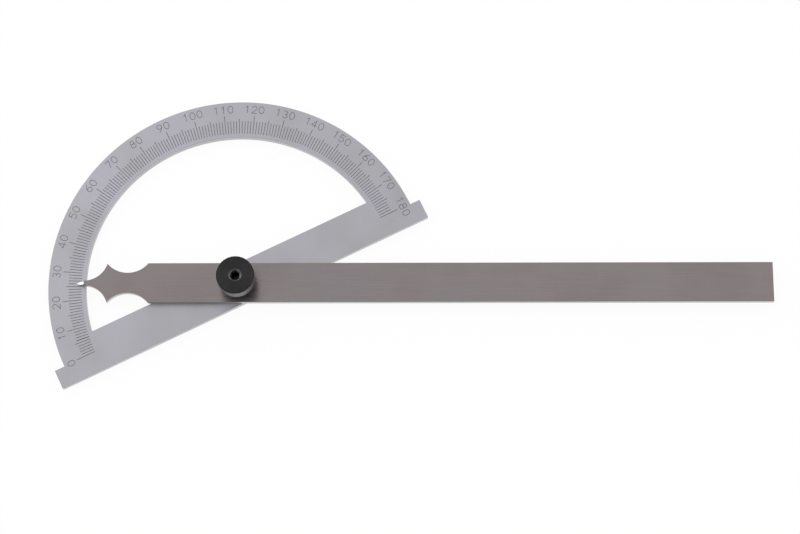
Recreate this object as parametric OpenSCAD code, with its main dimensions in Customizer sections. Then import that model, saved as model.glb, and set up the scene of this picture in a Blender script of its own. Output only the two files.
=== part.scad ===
// Angle finder: a half-ring protractor on a straight base bar, with one long arm that
// swings on a stud at the centre of the scale and is clamped there by a knurled nut.
// The origin is on the pivot axis, in the back face of the plate. +X runs along the
// arm to its square end, and +Z leaves the graduated face.

/* [Protractor plate] */
// Outer radius of the graduated arc
arc_r = 71.5; // [60:0.5:90]
// Width of the arc's band
arc_band_w = 14; // [11:0.5:20]
// Thickness of the plate
plate_t = 3; // [2:0.1:4]
// Width of the base bar, half of it on each side of the diameter line
bar_w = 15; // [13:0.5:24]
// How far each ear of the base bar stands out past the arc
ear_l = 3.9; // [1:0.1:10]
// How far the upper edge of each ear lies below the diameter line
ear_drop = 0.2; // [0:0.1:2]

/* [Scale] */
// Angle that the pointer shows, in degrees
reading = 25.8; // [0:0.1:180]
// Bare rim between the inner edge of the arc and the lines
scale_inset = 1.5; // [0.8:0.1:3]
// Length of a one-degree line
line_l = 4.9; // [3:0.1:6]
// How much longer a five-degree line is
five_step = 0.9; // [0.5:0.1:1.5]
// How much longer a ten-degree line is than a five-degree line
ten_step = 1.4; // [0.5:0.1:1.5]
// Width of an engraved line
line_w = 0.25; // [0.15:0.05:0.4]
// Depth of an engraved line
line_depth = 0.1; // [0.05:0.05:0.3]

/* [Arm] */
// Length of the arm from the pivot to its square end
arm_l = 200; // [120:1:300]
// Width of the arm
arm_w = 15; // [13:0.5:22]
// Thickness of the arm
arm_t = 2.5; // [1.2:0.1:4]
// How far the tip of the pointer reaches over the lines
tip_overlap = 2; // [0.5:0.1:4]
// Width of the arm at the waist behind the pointer
waist_w = 7.7; // [5:0.1:10]
// Radius of the two scallops that form the waist
waist_scallop_r = 10; // [8:0.1:12]
// Radius of the two scallops that form the pointer's nose
nose_scallop_r = 9.3; // [7:0.1:11]
// Distance along the arm from the nose scallops to the waist scallops
scallop_pitch = 16.5; // [14:0.1:18]
// Width of the needle at its root
needle_w = 1.7; // [1:0.1:3]
// Length of the needle
needle_l = 3; // [2:0.1:5]
// Length of the slope that falls to the tip of the needle
slope_l = 3.1; // [2.4:0.1:5]
// Width of the flat strip down the middle of the slope
slope_w = 1.1; // [0.4:0.1:1.4]

/* [Pivot stud] */
// Diameter of the shoulder that the arm turns on
shoulder_d = 6; // [5:0.1:7]
// Diameter of the flat head let into the back of the plate
stud_head_d = 9; // [7.5:0.1:12]
// Thickness of the head
stud_head_t = 1; // [0.6:0.1:1.2]
// Root diameter of the thread
thread_root_d = 3.2; // [2.4:0.1:4]
// Length of thread inside the tightened nut
thread_grip = 5; // [4:0.5:10]

/* [Washer] */
// Outer diameter of the washer
washer_d = 9; // [7:0.1:12]
// Hole through the washer
washer_hole_d = 4.3; // [4.1:0.1:5]
// Thickness of the washer
washer_t = 0.8; // [0.5:0.1:1.5]

/* [Lock nut] */
// Height of the whole nut
nut_h = 11.9; // [11:0.1:16]
// Diameter over the points of the knurl
nut_head_d = 14.3; // [12:0.1:18]
// Height of the knurled head
nut_head_h = 5.8; // [4:0.1:8]
// Diameter of the smooth neck below the head
nut_neck_d = 8; // [6.5:0.1:10]
// Diameter of the countersink at each end of the tapped hole
nut_sink_d = 4.8; // [4.2:0.1:6]
// Chamfer at both ends of the head and at the foot of the neck
nut_chamfer = 0.15; // [0.1:0.05:0.8]
// Diamonds in one ring of the knurl
knurl_count = 44; // [30:1:60]
// Depth of the knurl
knurl_depth = 0.15; // [0.1:0.05:0.5]

/* [Fits] */
// Gap between flat faces that slide on each other
lap_gap = 0.05; // [0.02:0.01:0.1]
// Radial clearance of the arm on the shoulder
swing_clear = 0.05; // [0.02:0.01:0.09]
// Radial clearance of the nut on the root of the thread
thread_clear = 0.05; // [0.02:0.01:0.09]
// Radial clearance of the fixed stud in the plate
seat_clear = 0.02; // [0.01:0.01:0.05]
// How far the shoulder stays below the top of the arm, so that the nut can clamp
shoulder_drop = 0.2; // [0.1:0.05:0.5]

/* [Hidden] */

// One overrun for every cut
overrun = 1;
bore_fn = 96;
arc_fn = 360;

// The scale runs clockwise over half a turn, one line to a degree
scale_degrees = 180;
arc_inner_r = arc_r - arc_band_w;
line_start_r = arc_inner_r + scale_inset;
bar_end = arc_r + ear_l;

// The stack on the stud, from the back of the plate up
arm_z = plate_t + lap_gap;
shoulder_top_z = arm_z + arm_t - shoulder_drop;
washer_z = arm_z + arm_t + lap_gap;
nut_z = washer_z + washer_t + lap_gap;
nut_top_z = nut_z + nut_h;
nut_head_z = nut_top_z - nut_head_h;
stud_end_z = nut_z + thread_grip;

// Places along the arm, from the tip of the needle to the waist
tip_x = -(line_start_r + tip_overlap);
nose_x = tip_x + needle_l;
waist_x = nose_x + scallop_pitch;

// The slope falls to this share of the arm's thickness, with a bevel on each side of it
tip_height_share = 0.1;
slope_fall = atan2(arm_t * (1 - tip_height_share), slope_l);
slope_bevel = 45;
bevel_run_out = 1.25 * needle_w;

// Slope of the countersinks from the nut's end faces
sink_slope = 30;

// The knurl is a net of points and hollows, one row above the other
knurl_lead = 30;
knurl_columns = 2 * knurl_count;
hollow_r = nut_head_d / 2 - knurl_depth;
knurl_h = nut_head_h - 2 * nut_chamfer;
knurl_row_h = PI * nut_head_d / knurl_columns / tan(knurl_lead);
knurl_rows = max(2, round(knurl_h / knurl_row_h));

module plate_outline() {
    difference() {
        union() {
            intersection() {
                circle(r = arc_r, $fn = arc_fn);
                translate([-arc_r, -ear_drop])
                    square([2 * arc_r, arc_r + ear_drop]);
            }
            translate([-bar_end, -bar_w / 2])
                square([2 * bar_end, bar_w / 2 - ear_drop]);
        }
        plate_window();
    }
}

// The open D between the arc and the base bar
module plate_window() {
    intersection() {
        circle(r = arc_inner_r, $fn = arc_fn);
        translate([-arc_r, bar_w / 2])
            square([2 * arc_r, arc_r]);
    }
}

function line_length(degree) =
    line_l + (degree % 5 == 0 ? five_step : 0) + (degree % 10 == 0 ? ten_step : 0);

module scale_lines() {
    for (degree = [0 : scale_degrees])
        rotate(scale_degrees - degree)
            translate([line_start_r, -line_w / 2])
                square([line_length(degree), line_w]);
}

module protractor_plate() {
    color([0.68, 0.68, 0.70])
        rotate(reading)
            difference() {
                linear_extrude(plate_t)
                    plate_outline();
                translate([0, 0, plate_t - line_depth])
                    linear_extrude(line_depth + overrun)
                        scale_lines();
                translate([0, 0, -overrun])
                    cylinder(r = shoulder_d / 2 + seat_clear, h = plate_t + 2 * overrun, $fn = bore_fn);
                translate([0, 0, -overrun])
                    cylinder(r = stud_head_d / 2 + seat_clear, h = stud_head_t + overrun, $fn = bore_fn);
            }
}

// Headed stud: flat head, shoulder for the arm, thread at its root diameter
module pivot_stud() {
    root_r = thread_root_d / 2;
    end_chamfer = root_r / 4;
    color([0.60, 0.60, 0.62])
        rotate_extrude($fn = bore_fn)
            polygon([
                [0, 0],
                [stud_head_d / 2, 0],
                [stud_head_d / 2, stud_head_t],
                [shoulder_d / 2, stud_head_t],
                [shoulder_d / 2, shoulder_top_z],
                [root_r, shoulder_top_z],
                [root_r, stud_end_z - end_chamfer],
                [root_r - end_chamfer, stud_end_z],
                [0, stud_end_z]
            ]);
}

// Four scallops cut a waist and a nose into the bar, and the needle is the nose's point
module arm_outline() {
    difference() {
        translate([nose_x, -arm_w / 2])
            square([arm_l - nose_x, arm_w]);
        for (side = [-1, 1]) {
            translate([nose_x, side * (needle_w / 2 + nose_scallop_r)])
                circle(r = nose_scallop_r, $fn = bore_fn);
            translate([waist_x, side * (waist_w / 2 + waist_scallop_r)])
                circle(r = waist_scallop_r, $fn = bore_fn);
        }
    }
    polygon([
        [tip_x, 0],
        [nose_x, -needle_w / 2],
        [nose_x, needle_w / 2]
    ]);
}

// Cuts the needle's slope, and the bevel on each side of its flat strip
module needle_slope() {
    cut_l = slope_l + arm_t;
    translate([tip_x + slope_l, 0, arm_z + arm_t])
        rotate([0, -slope_fall, 0]) {
            translate([-cut_l, -needle_w, 0])
                cube([cut_l, 2 * needle_w, 2 * arm_t]);
            for (side = [0, 1])
                mirror([0, side, 0])
                    translate([-cut_l, slope_w / 2, 0])
                        rotate([-slope_bevel, 0, 0])
                            cube([cut_l + bevel_run_out, 2 * needle_w, 2 * arm_t]);
        }
}

module arm() {
    color([0.52, 0.50, 0.49])
        difference() {
            translate([0, 0, arm_z])
                linear_extrude(arm_t)
                    arm_outline();
            needle_slope();
            translate([0, 0, arm_z - overrun])
                cylinder(r = shoulder_d / 2 + swing_clear, h = arm_t + 2 * overrun, $fn = bore_fn);
        }
}

module washer() {
    color([0.72, 0.72, 0.74])
        translate([0, 0, washer_z])
            difference() {
                cylinder(r = washer_d / 2, h = washer_t, $fn = bore_fn);
                translate([0, 0, -overrun])
                    cylinder(r = washer_hole_d / 2, h = washer_t + 2 * overrun, $fn = bore_fn);
            }
}

// The head's rows from the bottom up: chamfer edge, the net of the knurl, chamfer edge
function head_row_z(row) =
    row == 0 ? 0
    : row == knurl_rows + 2 ? nut_head_h
    : nut_chamfer + knurl_h * (row - 1) / knurl_rows;

function is_point(row, column) = (row + column) % 2 == 0;

function head_row_r(row, column) =
    row == 0 || row == knurl_rows + 2 ? hollow_r - nut_chamfer
    : row == 1 || row == knurl_rows + 1 ? hollow_r
    : is_point(row, column) ? nut_head_d / 2
    : hollow_r;

function net_index(row, column) = row * knurl_columns + column % knurl_columns;

// The two triangles of one cell share its edge from hollow to hollow
function net_cell(row, column) =
    let (
        a = net_index(row, column),
        b = net_index(row, column + 1),
        c = net_index(row + 1, column + 1),
        d = net_index(row + 1, column)
    )
    is_point(row, column) ? [[a, d, b], [b, d, c]] : [[a, c, b], [a, d, c]];

module knurled_head() {
    top_row = knurl_rows + 2;
    points = [
        for (row = [0 : top_row], column = [0 : knurl_columns - 1])
            let (turn = 360 * column / knurl_columns, r = head_row_r(row, column))
            [r * cos(turn), r * sin(turn), head_row_z(row)]
    ];
    flanks = [
        for (row = [0 : top_row - 1], column = [0 : knurl_columns - 1])
            each net_cell(row, column)
    ];
    foot = [for (column = [0 : knurl_columns - 1]) net_index(0, column)];
    crown = [for (column = [knurl_columns - 1 : -1 : 0]) net_index(top_row, column)];
    polyhedron(points = points, faces = concat(flanks, [foot, crown]));
}

// Neck with a chamfered foot, run up into the middle of the head
module nut_neck() {
    neck_r = nut_neck_d / 2;
    rotate_extrude($fn = bore_fn)
        polygon([
            [0, nut_z],
            [neck_r - nut_chamfer, nut_z],
            [neck_r, nut_z + nut_chamfer],
            [neck_r, nut_head_z + nut_head_h / 2],
            [0, nut_head_z + nut_head_h / 2]
        ]);
}

// Tapped hole at its root diameter, with a countersink at each end
module nut_hole() {
    hole_r = thread_root_d / 2 + thread_clear;
    sink_r = nut_sink_d / 2;
    sink_h = (sink_r - hole_r) * tan(sink_slope);
    over_r = overrun / tan(sink_slope);
    translate([0, 0, nut_z - overrun])
        cylinder(r = hole_r, h = nut_h + 2 * overrun, $fn = bore_fn);
    translate([0, 0, nut_top_z - sink_h])
        cylinder(r1 = hole_r, r2 = sink_r + over_r, h = sink_h + overrun, $fn = bore_fn);
    translate([0, 0, nut_z - overrun])
        cylinder(r1 = sink_r + over_r, r2 = hole_r, h = sink_h + overrun, $fn = bore_fn);
}

module lock_nut() {
    color([0.17, 0.17, 0.18])
        difference() {
            union() {
                translate([0, 0, nut_head_z])
                    knurled_head();
                nut_neck();
            }
            nut_hole();
        }
}

protractor_plate();
pivot_stud();
arm();
washer();
lock_nut();
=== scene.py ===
import math

import bmesh
import bpy
from mathutils import Matrix, Vector
from mathutils.geometry import tessellate_polygon


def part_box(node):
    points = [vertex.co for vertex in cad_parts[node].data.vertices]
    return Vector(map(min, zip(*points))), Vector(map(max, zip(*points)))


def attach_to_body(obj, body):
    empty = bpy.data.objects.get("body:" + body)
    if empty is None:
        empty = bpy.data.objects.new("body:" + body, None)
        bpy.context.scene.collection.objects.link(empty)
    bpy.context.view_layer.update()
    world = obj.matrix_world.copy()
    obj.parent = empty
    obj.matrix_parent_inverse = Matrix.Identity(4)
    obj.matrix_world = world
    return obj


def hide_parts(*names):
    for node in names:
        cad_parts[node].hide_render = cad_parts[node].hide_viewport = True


# Looks of an angle finder: half-ring protractor plate, pointed arm, washer, stud and
# knurled nut. Lengths are in millimetres in the script and in metres in the meshes.
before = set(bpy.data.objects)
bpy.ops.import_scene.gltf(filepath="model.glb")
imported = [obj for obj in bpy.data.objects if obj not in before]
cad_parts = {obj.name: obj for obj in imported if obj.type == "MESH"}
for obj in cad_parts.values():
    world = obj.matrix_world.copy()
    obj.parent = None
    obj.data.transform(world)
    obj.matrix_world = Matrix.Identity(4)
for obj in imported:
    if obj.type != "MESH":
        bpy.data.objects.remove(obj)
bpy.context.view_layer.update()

MM = 0.001
FULL_TURN = 360
PIVOT = (0, 0)

# How finely the meshes are made, and what counts as level or as nothing
SLIVER = 0.001
LEVEL_SPREAD = 1e-6
LEVEL_NORMAL = 0.999
SMOOTH_ANGLE = 30
NUT_SMOOTH_ANGLE = 25
ARC_STEP = 1
SCALLOP_STEP = 2
WASHER_STEP = 3
HOLE_STEP = 3.75
STROKE_STEP = 20
RING_STEP = 18
TURNED_COLUMNS = 96
FILLET_ROWS = 5
STUD_ROWS_PER_PITCH = 8
NUT_ROWS_PER_PITCH = 6
OVERRUN = 1


def level(node, end):
    """Height in millimetres of a CAD node's foot (end 0) or top (end 1)."""
    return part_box(node)[end].z / MM


PLATE_TOP = level("protractor_plate", 1)
ARM_FOOT, ARM_TOP = level("arm", 0), level("arm", 1)
WASHER_FOOT, WASHER_TOP = level("washer", 0), level("washer", 1)
NUT_FOOT, NUT_TOP = level("lock_nut", 0), level("lock_nut", 1)
STUD_END = level("pivot_stud", 1)

# Protractor plate
READING = 25.8
ARC_R = 71.5
ARC_INNER_R = 57.5
BAR_HALF_W = 7.5
BAR_END = 75.4
EAR_DROP = 0.2
SEAT_R = 4.52
SEAT_DEPTH = 1
PIVOT_HOLE_R = 3.02
PLATE_CHAMFER = 0.06

# Scale
SCALE_DEGREES = 180
LINE_START_R = 59
LINE_L = 4.9
MIDDLE_EVERY = 5
MIDDLE_EXTRA = 0.9
LONG_EVERY = 10
LONG_EXTRA = 1.4
LINE_HALF_W = 0.12
GROOVE_DEPTH = 0.1
GROOVE_TAPER = 0.5
GROOVE_RISE = 0.06
GROOVE_SIDES = 4
NUMERAL_STEP = 10
NUMERAL_FOOT_R = 67.25
NUMERAL_H = 2.8
NUMERAL_W = 1.95
NUMERAL_PITCH = 2.75
NUMERAL_SHIFT = -0.25
STROKE_HALF_W = 0.11

# Arm
ARM_END = 200
ARM_HALF_W = 7.5
TIP_X = -61
NOSE_X = -58
NOSE_HALF_W = 0.85
NOSE_R = 9.3
WAIST_X = -41.5
WAIST_HALF_W = 3.85
WAIST_R = 10
ARM_HOLE_R = 3.05
ARM_CHAMFER = 0.05
TIP_HEIGHT_SHARE = 0.1
SLOPE_L = 3.1
SLOPE_HALF_W = 0.55
SLOPE_BEVEL = 45
BEVEL_RUN_OUT = 1.25

# Stud, washer and nut
STUD_HEAD_R = 4.5
SHOULDER_R = 3
SHOULDER_DROP = 0.2
STUD_ROOT_R = 1.6
STUD_END_R = 1.1
STUD_CHAMFER = 0.12
WASHER_HOLE_R = 2.15
WASHER_R = 4.5
WASHER_CHAMFER = 0.1
THREAD_PITCH = 0.7
THREAD_DEPTH = 0.35
THREAD_FLAT = 0.16
NUT_HOLE_R = 1.65
NUT_SINK_R = 2.4
NUT_SINK_SLOPE = 30
NUT_R = 7.15
NUT_HEAD_H = 5.8
NUT_NECK_R = 4
NUT_CHAMFER = 0.15
NECK_FILLET = 0.5
KNURL_COUNT = 44
KNURL_DEPTH = 0.15
KNURL_ROWS = 3
KNURL_CELLS = 6
KNURL_LAND = 0.42
KNURL_MARGIN = 0.02

# Shading: where noise begins and ends, and what all grain shares
NOISE_START, NOISE_END = 0.3, 0.7
NOISE_ROUGHNESS = 0.55
CLOUD_STOPS = (0.35, 0.5, 0.65)
PATCH_STOPS = (0.35, 0.7)
GRAIN_STRENGTH = 0.5
EVEN = (1, 1, 1)


# Node helpers

def new_material(name):
    """A material, its node tree and its main shader."""
    material = bpy.data.materials.new(name)
    material.use_nodes = True
    tree = material.node_tree
    return material, tree, tree.nodes["Principled BSDF"]


def put(tree, kind, **values):
    """A node of that kind with its properties and input sockets set by name."""
    node = tree.nodes.new("ShaderNode" + kind)
    for key, value in values.items():
        if key in node.inputs:
            node.inputs[key].default_value = value
        else:
            setattr(node, key, value)
    return node


def noise(tree, scale, stretch=EVEN, detail=3):
    """Noise of that many features a metre, drawn out along the axes by stretch."""
    source = put(tree, "TexCoord")
    mapping = put(tree, "Mapping")
    mapping.inputs["Scale"].default_value = stretch
    texture = put(tree, "TexNoise", Scale=scale, Detail=detail,
                  Roughness=NOISE_ROUGHNESS)
    tree.links.new(source.outputs["Object"], mapping.inputs["Vector"])
    tree.links.new(mapping.outputs["Vector"], texture.inputs["Vector"])
    return texture.outputs["Fac"]


def remap(tree, value, low, high, start=NOISE_START, end=NOISE_END):
    """low where the value is at start, high where it is at end."""
    node = put(tree, "MapRange")
    node.inputs["From Min"].default_value = start
    node.inputs["From Max"].default_value = end
    node.inputs["To Min"].default_value = low
    node.inputs["To Max"].default_value = high
    tree.links.new(value, node.inputs["Value"])
    return node.outputs["Result"]


def ramp(tree, value, stops):
    """Colour from stops, each a place from 0 to 1 and a colour."""
    node = put(tree, "ValToRGB")
    elements = node.color_ramp.elements
    while len(elements) < len(stops):
        elements.new(0.5)
    for element, (place, colour) in zip(elements, stops):
        element.position = place
        element.color = (*colour, 1)
    tree.links.new(value, node.inputs["Fac"])
    return node.outputs["Color"]


def bump(tree, bsdf, height, depth):
    """Fine relief, with its depth in metres."""
    node = put(tree, "Bump", Strength=GRAIN_STRENGTH, Distance=depth)
    tree.links.new(height, node.inputs["Height"])
    tree.links.new(node.outputs["Normal"], bsdf.inputs["Normal"])


def calculate(tree, operation, *values):
    """A Math node on sockets or plain numbers."""
    node = put(tree, "Math", operation=operation)
    for socket, value in zip(node.inputs, values):
        if isinstance(value, (int, float)):
            socket.default_value = value
        else:
            tree.links.new(value, socket)
    return node.outputs[0]


def shade(colour, factor):
    return tuple(channel * factor for channel in colour)


# Materials

def metal(name, colour, cool, roughness, mottle, grain, depth, stretch=EVEN,
          spread=0.06, contrast=0.05):
    """Bare metal: cloudy colour from warm to cool, fine grain in bump and roughness.
    mottle and grain are in features a metre, and depth is in metres."""
    material, tree, bsdf = new_material(name)
    bsdf.inputs["Metallic"].default_value = 1
    cloud = noise(tree, mottle, detail=2)
    colours = (shade(colour, 1 - contrast), colour, cool)
    tint = ramp(tree, cloud, list(zip(CLOUD_STOPS, colours)))
    tree.links.new(tint, bsdf.inputs["Base Color"])
    texture = noise(tree, grain, stretch)
    rough = remap(tree, texture, roughness - spread, roughness + spread)
    tree.links.new(rough, bsdf.inputs["Roughness"])
    bump(tree, bsdf, texture, depth)
    return material


def satin_chrome():
    return metal("satin_chrome", (0.374, 0.368, 0.396), (0.383, 0.376, 0.42),
                 roughness=0.42, mottle=45, grain=5200, depth=6e-6)


# Painted light: the plate's walls get a lighter colour than its face, so that they look lit.
def plate_edge():
    return metal("plate_edge", (0.47, 0.465, 0.485), (0.47, 0.47, 0.5),
                 roughness=0.34, mottle=60, grain=3000, depth=5e-6, stretch=(0.2, 0.2, 1))


# Its dark colour is partly the steel's own tone and partly painted shade: the dark reflection
# from above is put into the colour.
def ground_steel():
    """Ground lengthwise, so its reflections are drawn out across the arm."""
    material = metal("ground_steel", (0.245, 0.215, 0.214), (0.238, 0.216, 0.226),
                     roughness=0.3, mottle=38, grain=2600, depth=3e-6,
                     stretch=(0.03, 1, 1), spread=0.05, contrast=0.06)
    tree = material.node_tree
    bsdf = tree.nodes["Principled BSDF"]
    bsdf.inputs["Anisotropic"].default_value = 0.8
    across = put(tree, "VectorTransform", vector_type="VECTOR",
                 convert_from="OBJECT", convert_to="WORLD")
    across.inputs[0].default_value = (0, 1, 0)
    tree.links.new(across.outputs[0], bsdf.inputs["Tangent"])
    return material


# The arm's walls are twice as light as its top: partly a ground finish and partly painted light
# on the walls.
def ground_edge():
    return metal("ground_edge", (0.5, 0.49, 0.485), (0.48, 0.48, 0.49),
                 roughness=0.3, mottle=60, grain=3000, depth=4e-6, stretch=(0.05, 1, 1))


# Painted shade: the needle's bevels get near-black steel so that they look shaded.
def bevel_steel():
    return metal("bevel_steel", (0.1, 0.092, 0.095), (0.12, 0.11, 0.115),
                 roughness=0.3, mottle=300, grain=4000, depth=3e-6,
                 stretch=(0.1, 1, 1), spread=0.05, contrast=0.1)


# The needle's slope is polished, and its colour is made far lighter than the arm's: partly
# polish, partly painted highlight.
def polished_steel():
    return metal("polished_steel", (0.8, 0.8, 0.81), (0.78, 0.79, 0.82),
                 roughness=0.16, mottle=200, grain=4000, depth=2e-6,
                 stretch=(0.1, 1, 1), spread=0.04, contrast=0.03)


def turned_steel():
    return metal("turned_steel", (0.5, 0.49, 0.485), (0.47, 0.47, 0.48),
                 roughness=0.26, mottle=200, grain=5000, depth=5e-6, stretch=(1, 1, 0.2))


# Painted shade: the stud's thread, seen only inside the washer and nut, is coloured near-black
# so that it looks shaded.
def dark_thread():
    return metal("dark_thread", (0.04, 0.039, 0.039), (0.05, 0.05, 0.052),
                 roughness=0.4, mottle=500, grain=5000, depth=5e-6, stretch=(1, 1, 0.2))


def zinc_plate():
    return metal("zinc_plate", (0.56, 0.56, 0.55), (0.5, 0.53, 0.56),
                 roughness=0.3, mottle=300, grain=4000, depth=5e-6)


def groove_paint():
    """Dark paint wiped into the engraved lines and numerals."""
    material, tree, bsdf = new_material("groove_paint")
    bsdf.inputs["Specular IOR Level"].default_value = 0.3
    grain = noise(tree, scale=2500, detail=4)
    colours = ((0.13, 0.13, 0.138), (0.19, 0.19, 0.2))
    tint = ramp(tree, grain, list(zip(PATCH_STOPS, colours)))
    tree.links.new(tint, bsdf.inputs["Base Color"])
    rough = remap(tree, grain, low=0.5, high=0.75)
    tree.links.new(rough, bsdf.inputs["Roughness"])
    bump(tree, bsdf, grain, depth=1e-5)
    return material


def black_oxide(name, roughness, grain, depth, stretch=EVEN, spread=0.07):
    """Black-oxided steel, faintly patchy, with the same measures as metal."""
    material, tree, bsdf = new_material(name)
    bsdf.inputs["Specular IOR Level"].default_value = 0.25
    cloud = noise(tree, scale=400, detail=4)
    colours = ((0.01, 0.01, 0.0105), (0.016, 0.0155, 0.016))
    tint = ramp(tree, cloud, list(zip(PATCH_STOPS, colours)))
    tree.links.new(tint, bsdf.inputs["Base Color"])
    texture = noise(tree, grain, stretch)
    rough = remap(tree, texture, roughness - spread, roughness + spread)
    tree.links.new(rough, bsdf.inputs["Roughness"])
    bump(tree, bsdf, texture, depth)
    return material


def drawn_oxide():
    return black_oxide("black_oxide", roughness=0.34, grain=3000, depth=5e-6,
                       stretch=(1, 1, 0.3))


def turned_oxide():
    """Faced on the lathe, so its gloss spreads from the centre outwards."""
    material = black_oxide("black_oxide_turned", roughness=0.52, grain=4000, depth=6e-6)
    tree = material.node_tree
    bsdf = tree.nodes["Principled BSDF"]
    bsdf.inputs["Anisotropic"].default_value = 0.8
    bsdf.inputs["Anisotropic Rotation"].default_value = 0.25
    tangent = put(tree, "Tangent", direction_type="RADIAL", axis="Z")
    tree.links.new(tangent.outputs[0], bsdf.inputs["Tangent"])
    return material


def worn_knurl():
    """Knurl bright on its points and black in its hollows: the points are partly worn bare and
    partly a painted glint.
    """
    material = metal("worn_knurl", (0.14, 0.135, 0.14), (0.165, 0.16, 0.17),
                     roughness=0.34, mottle=900, grain=5000, depth=5e-6,
                     spread=0.08, contrast=0.25)
    tree = material.node_tree
    bsdf = tree.nodes["Principled BSDF"]
    source = put(tree, "TexCoord")
    flat = put(tree, "VectorMath", operation="MULTIPLY")
    flat.inputs[1].default_value = (1, 1, 0)
    tree.links.new(source.outputs["Object"], flat.inputs[0])
    reach = put(tree, "VectorMath", operation="LENGTH")
    tree.links.new(flat.outputs["Vector"], reach.inputs[0])
    hollow, point = (NUT_R - KNURL_DEPTH) * MM, NUT_R * MM
    height = remap(tree, reach.outputs["Value"], 0, 1, hollow, point)
    tint = ramp(tree, height, [
        (0, (0.01, 0.0095, 0.01)),
        (0.35, (0.03, 0.029, 0.031)),
        (1, (0.62, 0.605, 0.62)),
    ])
    tree.links.new(tint, bsdf.inputs["Base Color"])
    return material


def countersunk():
    return metal("countersunk", (0.09, 0.087, 0.09), (0.11, 0.107, 0.112),
                 roughness=0.26, mottle=900, grain=5000, depth=3e-6,
                 spread=0.05, contrast=0.2)


def floor_material():
    """White to the camera and in reflections, with a small share shaded so that shadows
    stay. From below the floor is clear."""
    material, tree, bsdf = new_material("floor_white")
    bsdf.inputs["Base Color"].default_value = FLOOR_COLOUR
    bsdf.inputs["Roughness"].default_value = 0.9
    bsdf.inputs["Specular IOR Level"].default_value = 0
    output = tree.nodes["Material Output"]
    path = put(tree, "LightPath")
    seen = calculate(tree, "MAXIMUM", path.outputs["Is Camera Ray"],
                     path.outputs["Is Glossy Ray"])
    seen = calculate(tree, "MAXIMUM", seen, path.outputs["Is Transmission Ray"])
    share = calculate(tree, "MULTIPLY", seen, FLOOR_GLOW_SHARE)
    glow = put(tree, "Emission", Strength=FLOOR_GLOW)
    mix = put(tree, "MixShader")
    tree.links.new(share, mix.inputs[0])
    tree.links.new(bsdf.outputs[0], mix.inputs[1])
    tree.links.new(glow.outputs[0], mix.inputs[2])
    clear = put(tree, "BsdfTransparent")
    side = put(tree, "NewGeometry")
    both = put(tree, "MixShader")
    tree.links.new(side.outputs["Backfacing"], both.inputs[0])
    tree.links.new(mix.outputs[0], both.inputs[1])
    tree.links.new(clear.outputs[0], both.inputs[2])
    tree.links.new(both.outputs[0], output.inputs["Surface"])
    return material


# Mesh helpers

def make_object(name, points, faces, materials, indices=None):
    """Object from points in millimetres. indices gives each face's material."""
    mesh = bpy.data.meshes.new(name)
    mesh.from_pydata([Vector(p) * MM for p in points], [], faces)
    for material in materials:
        mesh.materials.append(material)
    if indices:
        mesh.polygons.foreach_set("material_index", indices)
    mesh.validate()
    obj = bpy.data.objects.new(name, mesh)
    bpy.context.scene.collection.objects.link(obj)
    return obj


def smooth_by_angle(obj, degrees=SMOOTH_ANGLE):
    """Smooth shading between the sharp edges, and flat shading on level faces."""
    mesh = obj.data
    rounded = [abs(face.normal.z) < LEVEL_NORMAL for face in mesh.polygons]
    mesh.polygons.foreach_set("use_smooth", rounded)
    mesh.set_sharp_from_angle(angle=math.radians(degrees))


def dissolve_slivers(mesh):
    """Takes out the edges under a micrometre that a cut can leave."""
    tool = bmesh.new()
    tool.from_mesh(mesh)
    bmesh.ops.dissolve_degenerate(tool, dist=SLIVER * MM, edges=tool.edges)
    tool.to_mesh(mesh)
    tool.free()


def cut(obj, *cutters):
    """Takes the cutters out of obj. The cut faces keep the cutters' materials."""
    for cutter in cutters:
        boolean = obj.modifiers.new("cut", "BOOLEAN")
        boolean.operation = "DIFFERENCE"
        boolean.solver = "EXACT"
        boolean.material_mode = "TRANSFER"
        boolean.object = cutter
    bpy.context.view_layer.update()
    graph = bpy.context.evaluated_depsgraph_get()
    mesh = bpy.data.meshes.new_from_object(obj.evaluated_get(graph))
    obj.modifiers.clear()
    dissolve_slivers(mesh)
    obj.data = mesh
    for cutter in cutters:
        bpy.data.objects.remove(cutter)


def left_normal(a, b):
    """Unit vector to the left of the way from a to b."""
    along = (b - a).normalized()
    return Vector((-along.y, along.x))


def offset_loop(loop, distance):
    """The closed loop moved to its left, with mitred corners."""
    count = len(loop)
    moved = []
    for i, point in enumerate(loop):
        n1 = left_normal(loop[i - 1], point)
        n2 = left_normal(point, loop[(i + 1) % count])
        moved.append(point + (n1 + n2) * (distance / (1 + n1.dot(n2))))
    return moved


def arc(centre, radius, start, end, step=ARC_STEP):
    """Points on an arc from start to end, in degrees, both included."""
    count = max(2, round(abs(end - start) / step))
    angles = [math.radians(start + (end - start) * i / count) for i in range(count + 1)]
    rx, ry = radius if isinstance(radius, tuple) else (radius, radius)
    return [Vector((centre[0] + rx * math.cos(a), centre[1] + ry * math.sin(a)))
            for a in angles]


def ring(centre, radii, step=RING_STEP):
    """Points on a full circle or, with two radii, on an ellipse."""
    return arc(centre, radii, 0, FULL_TURN - step, step)


def hole(radius, step=HOLE_STEP):
    """A circle round the pivot, run clockwise so that the metal is outside it."""
    return list(reversed(ring(PIVOT, radius, step)))


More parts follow.
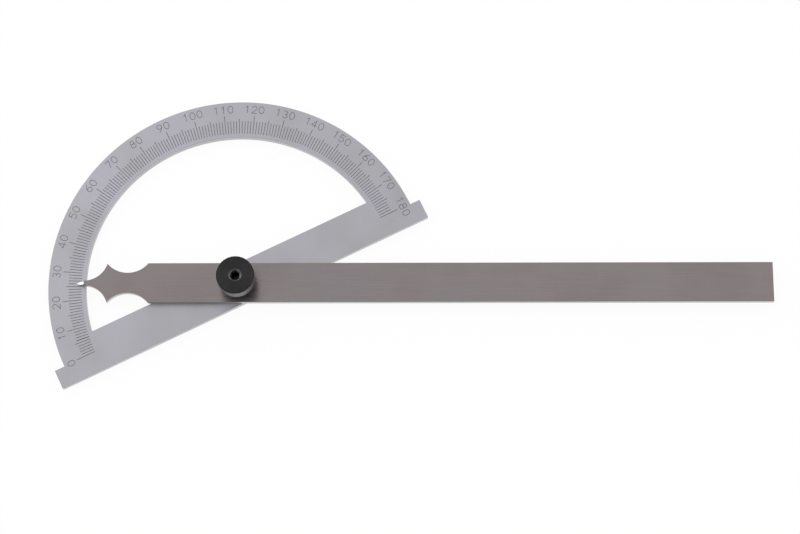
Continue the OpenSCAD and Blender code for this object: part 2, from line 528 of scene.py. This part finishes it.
def slab(name, loops, foot, top, chamfer, face_material, edge_material, turn=0):
    """Flat piece with chamfered rims. The metal is on the left of every loop, and only
    the walls between the chamfers have the edge material."""
    points, faces, indices = [], [], []
    rims = [(chamfer, foot), (0, foot + chamfer), (0, top - chamfer), (chamfer, top)]
    inner_loops = [offset_loop(loop, chamfer) for loop in loops]
    caps = {0: [], len(rims) - 1: []}
    for loop, inner in zip(loops, inner_loops):
        count = len(loop)
        starts = []
        for row, (inset, z) in enumerate(rims):
            starts.append(len(points))
            if row in caps:
                caps[row] += range(len(points), len(points) + count)
            rim = inner if inset else loop
            points += [(p.x, p.y, z) for p in rim]
        for row, (low, high) in enumerate(zip(starts, starts[1:])):
            for i in range(count):
                j = (i + 1) % count
                faces.append((low + i, low + j, high + j, high + i))
                indices.append(row % 2)
    flat = [[Vector((p.x, p.y, 0)) for p in inner] for inner in inner_loops]
    joined = [p for inner in flat for p in inner]
    for a, b, c in tessellate_polygon(flat):
        area = (joined[b] - joined[a]).cross(joined[c] - joined[a]).z
        if area == 0:
            continue
        up = (a, b, c) if area > 0 else (a, c, b)
        faces.append(tuple(caps[len(rims) - 1][k] for k in up))
        faces.append(tuple(caps[0][k] for k in reversed(up)))
        indices += [0, 0]
    spin = Matrix.Rotation(math.radians(turn), 3, "Z")
    points = [spin @ Vector(p) for p in points]
    return make_object(name, points, faces, [face_material, edge_material], indices)


def polar_mesh(name, rows, columns, materials, row_material, closed):
    """Piece round the pivot axis. rows is a list of functions of the angle that give
    (radius, height). row_material gives each row's material and whether its uneven
    cells are split, on the diagonal that lies deeper."""
    points = []
    for profile in rows:
        for column in range(columns):
            turn = 2 * math.pi * column / columns
            radius, z = profile(turn)
            points.append((radius * math.cos(turn), radius * math.sin(turn), z))
    radii = [math.hypot(p[0], p[1]) for p in points]
    faces, indices = [], []
    count = len(rows)
    for row in range(count if closed else count - 1):
        above = (row + 1) % count
        for column in range(columns):
            beside = (column + 1) % columns
            a, b = row * columns + column, row * columns + beside
            c, d = above * columns + beside, above * columns + column
            cell = [radii[k] for k in (a, b, c, d)]
            uneven = max(cell) - min(cell) > LEVEL_SPREAD
            if row_material[row][1] and uneven:
                if radii[a] + radii[c] < radii[b] + radii[d]:
                    faces += [(a, b, c), (a, c, d)]
                else:
                    faces += [(a, b, d), (b, c, d)]
                indices += [row_material[row][0]] * 2
            else:
                faces.append((a, b, c, d))
                indices.append(row_material[row][0])
    if not closed:
        faces.append(tuple(reversed(range(columns))))
        faces.append(tuple(range((count - 1) * columns, count * columns)))
        indices += [row_material[0][0], row_material[-1][0]]
    return make_object(name, points, faces, materials, indices)


def thread_wave(turn, z):
    """0 on the minor diameter and 1 on the major one of a right-hand thread."""
    phase = (turn / (2 * math.pi) - z / THREAD_PITCH) % 1
    distance = abs(phase - 0.5) * 2
    return min(1, max(0, (distance - THREAD_FLAT) / (1 - 2 * THREAD_FLAT)))


# Scale cutters

def half_turned(stroke):
    """The stroke turned by half a turn in its cell."""
    return [Vector((-p.x, 1 - p.y)) for p in stroke]


def line_of(*pairs):
    return [Vector(p) for p in pairs]


SIX_BOWL = ring((0, 0.3), (0.47, 0.3))
SIX_STEM = line_of((0.34, 1), (0.1, 0.93), (-0.14, 0.79), (-0.33, 0.6), (-0.44, 0.42))
# Each numeral is at most two strokes, (points, closed), in a cell 1 wide and 1 high
NUMERALS = {
    "0": [(ring((0, 0.5), (0.5, 0.5)), True)],
    "1": [(line_of((-0.3, 0.74), (0.06, 1), (0.06, 0)), False)],
    "2": [(arc((0, 0.7), (0.46, 0.3), 165, -38, STROKE_STEP)
           + line_of((-0.5, 0), (0.52, 0)), False)],
    "3": [(arc((0, 0.745), (0.42, 0.255), 150, -90, STROKE_STEP), False),
          (arc((0, 0.245), (0.48, 0.245), 100, -150, STROKE_STEP), False)],
    "4": [(line_of((0.2, 0), (0.2, 1), (-0.5, 0.3)), False),
          (line_of((-0.6, 0.27), (0.52, 0.27)), False)],
    "5": [(line_of((0.44, 1), (-0.36, 1), (-0.42, 0.5)), False),
          (arc((-0.02, 0.32), (0.5, 0.32), 148, -145, STROKE_STEP), False)],
    "6": [(SIX_BOWL, True), (SIX_STEM, False)],
    "7": [(line_of((-0.48, 1), (0.48, 1), (-0.14, 0)), False)],
    "8": [(ring((0, 0.76), (0.39, 0.24)), True), (ring((0, 0.27), (0.49, 0.27)), True)],
    "9": [(half_turned(SIX_BOWL), True), (half_turned(SIX_STEM), False)],
}


class Grooves:
    """Cutters for engraved strokes, all in one mesh."""

    def __init__(self):
        self.points, self.faces = [], []

    def add(self, path, closed, half_width):
        """Adds a stroke along a path, with mitred corners."""
        count = len(path)
        section = [
            (1 + GROOVE_RISE / GROOVE_DEPTH * (1 - GROOVE_TAPER), GROOVE_RISE),
            (GROOVE_TAPER, -GROOVE_DEPTH),
        ]
        first = len(self.points)
        for i, point in enumerate(path):
            before = path[i - 1] if closed or i else None
            after = path[(i + 1) % count] if closed or i < count - 1 else None
            n1 = left_normal(before, point) if before is not None else None
            n2 = left_normal(point, after) if after is not None else None
            n1, n2 = n1 or n2, n2 or n1
            side = (n1 + n2) * (half_width / (1 + n1.dot(n2)))
            for sign in (1, -1):
                order = section if sign > 0 else list(reversed(section))
                for share, z in order:
                    place = point + side * (sign * share)
                    self.points.append((place.x, place.y, PLATE_TOP + z))
        for i in range(count if closed else count - 1):
            a, b = first + GROOVE_SIDES * i, first + GROOVE_SIDES * ((i + 1) % count)
            for k in range(GROOVE_SIDES):
                m = (k + 1) % GROOVE_SIDES
                self.faces.append((a + k, b + k, b + m, a + m))
        if not closed:
            last = first + GROOVE_SIDES * (count - 1)
            self.faces.append(tuple(first + k for k in range(GROOVE_SIDES)))
            self.faces.append(tuple(last + k for k in reversed(range(GROOVE_SIDES))))

    def build(self, name, material):
        obj = make_object(name, self.points, self.faces, [material])
        tool = bmesh.new()
        tool.from_mesh(obj.data)
        bmesh.ops.recalc_face_normals(tool, faces=tool.faces)
        tool.to_mesh(obj.data)
        tool.free()
        return obj


def scale_direction(degree):
    """Outward and clockwise unit vectors at a reading of the scale."""
    turn = math.radians(SCALE_DEGREES - degree + READING)
    return Vector((math.cos(turn), math.sin(turn))), Vector((math.sin(turn), -math.cos(turn)))


def scale_grooves():
    """Two cutters: the lines with the first strokes, and the second strokes."""
    first, second = Grooves(), Grooves()
    for degree in range(SCALE_DEGREES + 1):
        outward, clockwise = scale_direction(degree)
        length = LINE_L + MIDDLE_EXTRA * (degree % MIDDLE_EVERY == 0)
        length += LONG_EXTRA * (degree % LONG_EVERY == 0)
        ends = [outward * LINE_START_R, outward * (LINE_START_R + length)]
        first.add(ends, False, LINE_HALF_W)
        if degree % NUMERAL_STEP:
            continue
        text = str(degree)
        for place, numeral in enumerate(text):
            shift = NUMERAL_SHIFT + (place - (len(text) - 1) / 2) * NUMERAL_PITCH
            for groove, (stroke, closed) in zip((first, second), NUMERALS[numeral]):
                path = [
                    outward * (NUMERAL_FOOT_R + NUMERAL_H * p.y)
                    + clockwise * (shift + NUMERAL_W * p.x)
                    for p in stroke
                ]
                groove.add(path, closed, STROKE_HALF_W)
    return first, second


# Pieces

def cylinder_cutter(name, radius, foot, top, material):
    rows = [lambda turn, z=z: (radius, z) for z in (foot, top)]
    return polar_mesh(name, rows, TURNED_COLUMNS, [material], [(0, False)] * 2, False)


def plate_piece(face, edge, paint):
    outline = line_of((-BAR_END, -BAR_HALF_W), (BAR_END, -BAR_HALF_W), (BAR_END, -EAR_DROP))
    dip = math.degrees(math.asin(EAR_DROP / ARC_R))
    outline += arc(PIVOT, ARC_R, -dip, 180 + dip)
    outline += line_of((-BAR_END, -EAR_DROP))
    corner = math.degrees(math.asin(BAR_HALF_W / ARC_INNER_R))
    window = list(reversed(arc(PIVOT, ARC_INNER_R, corner, 180 - corner)))
    loops = [outline, window, hole(PIVOT_HOLE_R)]
    obj = slab("plate_engraved", loops, 0, PLATE_TOP, PLATE_CHAMFER, face, edge, READING)
    first, second = scale_grooves()
    cut(
        obj,
        first.build("lines_cutter", paint),
        second.build("strokes_cutter", paint),
        cylinder_cutter("seat_cutter", SEAT_R, -OVERRUN, SEAT_DEPTH, edge),
    )
    smooth_by_angle(obj)
    return obj


def circle_meeting(c1, r1, c2, r2):
    """The meeting point, nearer the arm's axis, of two circles."""
    apart = c2 - c1
    d = apart.length
    a = (r1 * r1 - r2 * r2 + d * d) / (2 * d)
    h = math.sqrt(r1 * r1 - a * a)
    middle = c1 + apart * (a / d)
    across = Vector((-apart.y, apart.x)) * (h / d)
    return min((middle + across, middle - across), key=lambda p: p.y)


def angle_at(centre, point):
    away = point - centre
    return math.degrees(math.atan2(away.y, away.x))


def arm_outline():
    waist = Vector((WAIST_X, WAIST_HALF_W + WAIST_R))
    nose = Vector((NOSE_X, NOSE_HALF_W + NOSE_R))
    reach = math.sqrt(WAIST_R ** 2 - (ARM_HALF_W - waist.y) ** 2)
    shoulder = Vector((WAIST_X + reach, ARM_HALF_W))
    cusp = circle_meeting(waist, WAIST_R, nose, NOSE_R)
    upper = line_of((ARM_END, ARM_HALF_W))
    upper += arc(waist, WAIST_R, angle_at(waist, shoulder), angle_at(waist, cusp),
                 SCALLOP_STEP)
    upper += arc(nose, NOSE_R, angle_at(nose, cusp), -90, SCALLOP_STEP)[1:]
    lower = [Vector((p.x, -p.y)) for p in reversed(upper)]
    return upper + line_of((TIP_X, 0)) + lower


def block_cutter(place, low, high, material):
    """Block from corner low to corner high, moved by the matrix place."""
    corners = [
        place @ Vector([(low, high)[(k >> axis) & 1][axis] for axis in range(3)])
        for k in range(8)
    ]
    faces = [(0, 2, 3, 1), (4, 5, 7, 6), (0, 1, 5, 4), (2, 6, 7, 3), (0, 4, 6, 2), (1, 3, 7, 5)]
    if place.determinant() < 0:
        faces = [tuple(reversed(f)) for f in faces]
    return make_object("block_cutter", corners, faces, [material])


def needle_cutters(slope, bevel):
    """The needle's slope, and the bevel on each side of its flat strip. Each bevel's
    cutter starts a lead inside the strip, in what the slope has already cut away."""
    thickness = ARM_TOP - ARM_FOOT
    width = 2 * NOSE_HALF_W
    cut_l = SLOPE_L + thickness
    lead = SLOPE_HALF_W / 2
    fall = math.atan2(thickness * (1 - TIP_HEIGHT_SHARE), SLOPE_L)
    tilt = Matrix.Translation((TIP_X + SLOPE_L, 0, ARM_TOP)) @ Matrix.Rotation(-fall, 4, "Y")
    cutters = [block_cutter(tilt, (-cut_l, -width, 0), (0, width, 2 * thickness), slope)]
    for side in (1, -1):
        flank = tilt @ Matrix.Diagonal((1, side, 1, 1))
        flank = flank @ Matrix.Translation((-cut_l, SLOPE_HALF_W, 0))
        flank = flank @ Matrix.Rotation(math.radians(-SLOPE_BEVEL), 4, "X")
        size = (cut_l + BEVEL_RUN_OUT * width, 2 * width, 2 * thickness)
        cutters.append(block_cutter(flank, (0, -lead, 0), size, bevel))
    return cutters


def arm_piece(face, edge, slope, bevel):
    loops = [arm_outline(), hole(ARM_HOLE_R)]
    obj = slab("arm_ground", loops, ARM_FOOT, ARM_TOP, ARM_CHAMFER, face, edge)
    cut(obj, *needle_cutters(slope, bevel))
    smooth_by_angle(obj)
    return obj


def washer_piece(zinc):
    loops = [ring(PIVOT, WASHER_R, WASHER_STEP), hole(WASHER_HOLE_R, WASHER_STEP)]
    obj = slab("washer_plain", loops, WASHER_FOOT, WASHER_TOP, WASHER_CHAMFER, zinc, zinc)
    smooth_by_angle(obj)
    return obj


def steps(start, end, count):
    """Even steps from start to end, both included."""
    return [start + (end - start) * i / count for i in range(count + 1)]


def stud_piece(steel, thread):
    """Flat head, bearing shoulder and threaded end, from the back up."""
    shoulder_top = ARM_TOP - SHOULDER_DROP

    def plain(radius, z):
        return lambda turn: (radius, z)

    def threaded(z):
        taper = STUD_END_R + (STUD_END - z)
        return lambda turn: (
            min(taper, STUD_ROOT_R + THREAD_DEPTH * thread_wave(turn, z)), z)

    rows = [
        plain(STUD_HEAD_R - STUD_CHAMFER, 0),
        plain(STUD_HEAD_R, STUD_CHAMFER),
        plain(STUD_HEAD_R, SEAT_DEPTH),
        plain(SHOULDER_R, SEAT_DEPTH),
        plain(SHOULDER_R, shoulder_top - STUD_CHAMFER),
        plain(SHOULDER_R - STUD_CHAMFER, shoulder_top),
        plain(STUD_ROOT_R, shoulder_top),
    ]
    kinds = [(0, False)] * len(rows)
    count = round((STUD_END - shoulder_top) / THREAD_PITCH * STUD_ROWS_PER_PITCH)
    rows += [threaded(z) for z in steps(shoulder_top, STUD_END, count)[1:]]
    kinds += [(1, True)] * count
    obj = polar_mesh("stud_turned", rows, TURNED_COLUMNS, [steel, thread], kinds, False)
    smooth_by_angle(obj)
    return obj


def nut_piece(body, face, knurl, sink):
    """Knurled head, smooth neck and tapped hole in one closed skin."""
    head_foot = NUT_TOP - NUT_HEAD_H
    hollow_r = NUT_R - KNURL_DEPTH
    sink_rise = math.tan(math.radians(NUT_SINK_SLOPE))
    sink_h = (NUT_SINK_R - NUT_HOLE_R) * sink_rise
    knurl_low, knurl_high = head_foot + NUT_CHAMFER, NUT_TOP - NUT_CHAMFER
    rows, kinds = [], []

    def plain(radius, z, kind=0):
        rows.append(lambda turn: (radius, z))
        kinds.append((kind, False))

    def knurled(z):
        height = (z - knurl_low) / (knurl_high - knurl_low) * KNURL_ROWS

        def row(turn):
            across = turn / (2 * math.pi) * KNURL_COUNT
            depth = 0
            for family in (across + height, across - height):
                near = abs((family + 0.5) % 1 - 0.5)
                depth = max(depth, 1 - near / KNURL_LAND)
            return NUT_R - KNURL_DEPTH * max(0, depth), z

        rows.append(row)
        kinds.append((2, True))

    def tapped(z):
        depth = min(z - NUT_FOOT, NUT_TOP - z)
        cone = NUT_HOLE_R + max(0, sink_h - depth) / sink_rise

        def row(turn):
            return max(cone, NUT_HOLE_R + THREAD_DEPTH * thread_wave(turn, z)), z

        rows.append(row)
        kinds.append((3 if depth < sink_h else 0, True))

    plain(NUT_SINK_R, NUT_FOOT)
    plain(NUT_NECK_R - NUT_CHAMFER, NUT_FOOT)
    plain(NUT_NECK_R, NUT_FOOT + NUT_CHAMFER)
    for turn in steps(0, 90, FILLET_ROWS):
        swing = math.radians(turn)
        plain(NUT_NECK_R + NECK_FILLET * (1 - math.cos(swing)),
              head_foot - NECK_FILLET * (1 - math.sin(swing)))
    plain(hollow_r - NUT_CHAMFER, head_foot)
    plain(hollow_r, knurl_low - KNURL_MARGIN, 2)
    for z in steps(knurl_low, knurl_high, KNURL_ROWS * KNURL_CELLS):
        knurled(z)
    plain(hollow_r, knurl_high + KNURL_MARGIN, 2)
    plain(hollow_r - NUT_CHAMFER, NUT_TOP, 1)
    plain(NUT_SINK_R, NUT_TOP, 3)
    count = round((NUT_TOP - NUT_FOOT) / THREAD_PITCH * NUT_ROWS_PER_PITCH)
    for z in steps(NUT_TOP, NUT_FOOT, count)[1:-1]:
        tapped(z)
    obj = polar_mesh("nut_knurled", rows, KNURL_COUNT * KNURL_CELLS,
                     [body, face, knurl, sink], kinds, True)
    smooth_by_angle(obj, NUT_SMOOTH_ANGLE)
    return obj


def attach(obj, body, node):
    """Says which body a piece rides on, and the CAD node it replaces."""
    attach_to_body(obj, body)
    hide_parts(node)


plate = plate_piece(satin_chrome(), plate_edge(), groove_paint())
arm = arm_piece(ground_steel(), ground_edge(), polished_steel(), bevel_steel())
stud = stud_piece(turned_steel(), dark_thread())
washer = washer_piece(zinc_plate())
nut = nut_piece(drawn_oxide(), turned_oxide(), worn_knurl(), countersunk())
attach(plate, "protractor", "protractor_plate")
attach(arm, "arm", "arm")
attach(stud, "protractor", "pivot_stud")
attach(washer, "washer", "washer")
attach(nut, "nut", "lock_nut")


# Stage

FLOOR_HALF = 3000
FLOOR_Z = -0.03
FLOOR_COLOUR = (0.85, 0.85, 0.85, 1)
FLOOR_GLOW_SHARE = 0.93
FLOOR_GLOW = 1.005
CAMERA_AZIMUTH, CAMERA_ELEVATION, CAMERA_ROLL = 2.290, 76.686, -2.343
CAMERA_TARGET = (60.58, 6.45, PLATE_TOP)
CAMERA_DISTANCE = 741.41
CAMERA_LENS = 88.77
CAMERA_SENSOR = 36
CAMERA_CLIP = (0.05, 20)
# World strength: it goes from the first level to the second across a span of a direction
REAR_LEVELS, REAR_SPAN = (0.7, 1.36), (-0.2, 0.6)
SIDE_LEVELS, SIDE_SPAN = (1, 1.5), (0.5, 0.85)
FRONT_DARK = (0, -0.974, 0.225)
FRONT_LEVELS, FRONT_SPAN = (1, 0.45), (0.78, 0.95)
REAR_DIM = (0, 0.98, 0.2)
REAR_DIM_LEVELS, REAR_DIM_SPAN = (1, 0.6), (0.8, 0.93)
# Soft lamps: place, aim and size in metres, and power in watts
PANELS = {
    "key": ((-0.7, 0.25, 0.9), (0.03, 0, 0), (0.7, 0.7), 1.4),
    "fill": ((-0.5, -0.8, 0.5), (0, 0, 0), (0.9, 0.5), 0.6),
}


def add_floor():
    corners = [(x, y, FLOOR_Z) for x, y in ((-1, -1), (1, -1), (1, 1), (-1, 1))]
    corners = [(x * FLOOR_HALF, y * FLOOR_HALF, z) for x, y, z in corners]
    floor = make_object("floor", corners, [(0, 1, 2, 3)], [floor_material()])


def add_camera():
    azimuth, elevation, roll = map(
        math.radians, (CAMERA_AZIMUTH, CAMERA_ELEVATION, CAMERA_ROLL))
    back = Vector((math.sin(azimuth) * math.cos(elevation),
                   -math.cos(azimuth) * math.cos(elevation),
                   math.sin(elevation)))
    right = Vector((math.cos(azimuth), math.sin(azimuth), 0))
    up = back.cross(right)
    side = right * math.cos(roll) + up * math.sin(roll)
    top = up * math.cos(roll) - right * math.sin(roll)
    data = bpy.data.cameras.new("camera")
    data.lens = CAMERA_LENS
    data.sensor_width = CAMERA_SENSOR
    data.clip_start, data.clip_end = CAMERA_CLIP
    camera = bpy.data.objects.new("camera", data)
    bpy.context.scene.collection.objects.link(camera)
    turn = Matrix((side, top, back)).transposed()
    spot = Vector(CAMERA_TARGET) + back * CAMERA_DISTANCE
    camera.matrix_world = Matrix.Translation(spot * MM) @ turn.to_4x4()
    bpy.context.scene.camera = camera


def add_panel(name, spot, aim, size, power):
    """Soft rectangular lamp."""
    data = bpy.data.lights.new(name, "AREA")
    data.shape = "RECTANGLE"
    data.size, data.size_y = size
    data.energy = power
    lamp = bpy.data.objects.new(name, data)
    bpy.context.scene.collection.objects.link(lamp)
    lamp.location = spot
    lamp.rotation_euler = (Vector(aim) - Vector(spot)).to_track_quat("-Z", "Y").to_euler()


def towards(tree, view, direction):
    """How far the view turns towards a direction, 1 at most."""
    node = put(tree, "VectorMath", operation="DOT_PRODUCT")
    node.inputs[1].default_value = direction
    tree.links.new(view, node.inputs[0])
    return node.outputs["Value"]


def add_world():
    """White to the camera. Elsewhere brighter behind the tool and at its sides, dark low
    down in front of it and dimmer low down behind it."""
    world = bpy.data.worlds.new("studio")
    bpy.context.scene.world = world
    world.use_nodes = True
    tree = world.node_tree
    background = tree.nodes["Background"]
    background.inputs["Color"].default_value = (1, 1, 1, 1)
    view = put(tree, "TexCoord").outputs["Generated"]
    parts = put(tree, "SeparateXYZ")
    tree.links.new(view, parts.inputs[0])
    across = calculate(tree, "ABSOLUTE", parts.outputs["X"])
    rear = remap(tree, parts.outputs["Y"], *REAR_LEVELS, *REAR_SPAN)
    front = remap(tree, towards(tree, view, FRONT_DARK), *FRONT_LEVELS, *FRONT_SPAN)
    sides = remap(tree, across, *SIDE_LEVELS, *SIDE_SPAN)
    dim = remap(tree, towards(tree, view, REAR_DIM), *REAR_DIM_LEVELS, *REAR_DIM_SPAN)
    strength = rear
    for factor in (front, sides, dim):
        strength = calculate(tree, "MULTIPLY", strength, factor)
    path = put(tree, "LightPath")
    lit = put(tree, "Mix", data_type="FLOAT")
    tree.links.new(path.outputs["Is Camera Ray"], lit.inputs[0])
    tree.links.new(strength, lit.inputs[2])
    lit.inputs[3].default_value = 1
    tree.links.new(lit.outputs[0], background.inputs["Strength"])


add_floor()
add_camera()
add_world()
for panel, (spot, aim, size, power) in PANELS.items():
    add_panel(panel, spot, aim, size, power)
bpy.context.scene.view_settings.view_transform = "Standard"
